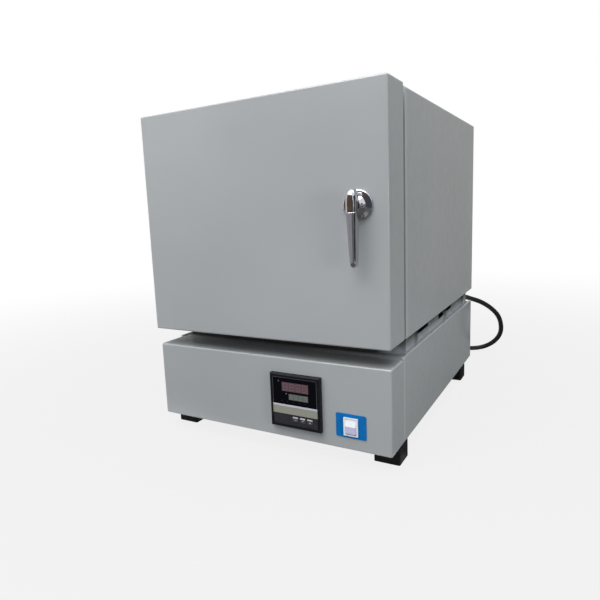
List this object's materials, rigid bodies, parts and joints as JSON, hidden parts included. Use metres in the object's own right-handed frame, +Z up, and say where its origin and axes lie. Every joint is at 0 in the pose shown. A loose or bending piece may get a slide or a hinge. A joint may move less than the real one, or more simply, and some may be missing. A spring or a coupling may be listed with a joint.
{
  "type": "box resistance furnace",
  "caption": "Bench-top electric box furnace with a side-hung insulated door, lever handle, ventilated riser and a control base with a digital controller and rocker switch.",
  "frame": {"origin": "Middle of the furnace's footprint on the bench, measured without the mains lead, with the door shut.", "axes": "+X to the right across the front, +Y back from the door, +Z up."},
  "size_m": [0.542, 0.8651, 0.61],
  "materials": {
    "cabinet_paint": "semi-gloss powder coat, pale cool grey",
    "zinc_sheet": "bright zinc plated sheet",
    "screw_steel": "zinc plated",
    "foot_rubber": "matt moulded",
    "fibre_board": "dry vacuum-formed fibre",
    "fibre_wool": "loose fibre blanket",
    "hearth_ceramic": "dense, matt",
    "element_alloy": "oxidised dark grey",
    "insulator_ceramic": "glazed white",
    "terminal_brass": "bright",
    "sheath_ceramic": "dense, matt",
    "sensor_aluminium": "cast, satin",
    "gasket_rope": "woven rope",
    "hinge_steel": "painted with the cabinet",
    "pin_steel": "ground",
    "handle_chrome": "mirror bright",
    "bezel_plastic": "satin black",
    "face_plastic": "dark grey-brown film",
    "lens_plastic": "gloss black window",
    "band_plastic": "silver-grey film",
    "key_plastic": "satin",
    "switch_blue": "saturated blue",
    "switch_white": "white",
    "sink_aluminium": "extruded",
    "relay_plastic": "pale",
    "terminal_plastic": "dark",
    "cord_pvc": "black flexible sheath, semi-matt",
    "plug_plastic": "black moulded"
  },
  "bodies": {
    "cabinet": {"feet": "foot_rubber", "base_front_pan": "cabinet_paint", "base_wrap": "cabinet_paint", "base_top_plate": "cabinet_paint", "base_rear_panel": "cabinet_paint", "riser_frame": "cabinet_paint", "body_shell": "cabinet_paint", "body_floor": "zinc_sheet", "body_front": "cabinet_paint", "rear_cover": "cabinet_paint", "cabinet_screws": "screw_steel", "mouth_ring": "fibre_board", "chamber_sides": "fibre_board", "chamber_floor": "fibre_board", "chamber_roof": "fibre_board", "chamber_back": "fibre_board", "body_insulation": "fibre_wool", "bulkhead": "zinc_sheet", "hearth_plate": "hearth_ceramic", "heating_elements": "element_alloy", "element_insulators": "insulator_ceramic", "element_terminals": "terminal_brass", "thermocouple_sheath": "sheath_ceramic", "thermocouple_head": "sensor_aluminium", "hinge_body_halves": "hinge_steel", "hinge_pins": "pin_steel", "controller_bezel": "bezel_plastic", "controller_face": "face_plastic", "controller_lens": "lens_plastic", "controller_band": "band_plastic", "controller_case": "bezel_plastic", "controller_clamp": "bezel_plastic", "switch_plate": "switch_blue", "switch_body": "switch_white", "relay_sink": "sink_aluminium", "power_relay": "relay_plastic", "terminal_block": "terminal_plastic", "cord_gland": "plug_plastic", "cord_lead": "cord_pvc", "cord_coil": "cord_pvc", "cord_tail": "cord_pvc", "plug_body": "plug_plastic", "plug_pins": "terminal_brass"},
    "door": {"door_shell": "cabinet_paint", "door_back_plate": "zinc_sheet", "door_insulation": "fibre_wool", "door_plug": "fibre_board", "door_gasket": "gasket_rope", "hinge_door_halves": "hinge_steel", "handle_rosette": "handle_chrome", "latch_sleeve": "pin_steel"},
    "handle": {"handle_lever": "handle_chrome", "handle_cap": "handle_chrome", "handle_spindle": "pin_steel", "latch_tongue": "pin_steel", "latch_nut": "screw_steel"},
    "key_left": {"key_left": "key_plastic"},
    "key_middle": {"key_middle": "key_plastic"},
    "key_right": {"key_right": "key_plastic"},
    "switch_rocker": {"switch_rocker": "switch_white"}
  },
  "joints": [
    {"name": "door_swing", "type": "hinge", "parent": "cabinet", "child": "door", "pos_m": [-0.23775, -0.22965, 0.4085], "axis": [0, 0, -1], "range_deg": [0, 135]},
    {"name": "handle_turn", "type": "hinge", "parent": "door", "child": "handle", "pos_m": [0.19575, -0.31845, 0.428], "axis": [0, 1, 0], "range_deg": [0, 90]},
    {"name": "key_left_press", "type": "slide", "parent": "cabinet", "child": "key_left", "axis": [0, 1, 0], "range_m": [0, 0.0006], "stiffness_N_per_m": 800, "springref_m": -0.0006},
    {"name": "key_middle_press", "type": "slide", "parent": "cabinet", "child": "key_middle", "axis": [0, 1, 0], "range_m": [0, 0.0006], "stiffness_N_per_m": 800, "springref_m": -0.0006},
    {"name": "key_right_press", "type": "slide", "parent": "cabinet", "child": "key_right", "axis": [0, 1, 0], "range_m": [0, 0.0006], "stiffness_N_per_m": 800, "springref_m": -0.0006},
    {"name": "rocker_tilt", "type": "hinge", "parent": "cabinet", "child": "switch_rocker", "pos_m": [0.17295, -0.29515, 0.071], "axis": [1, 0, 0], "range_deg": [0, 12]}
  ]
}
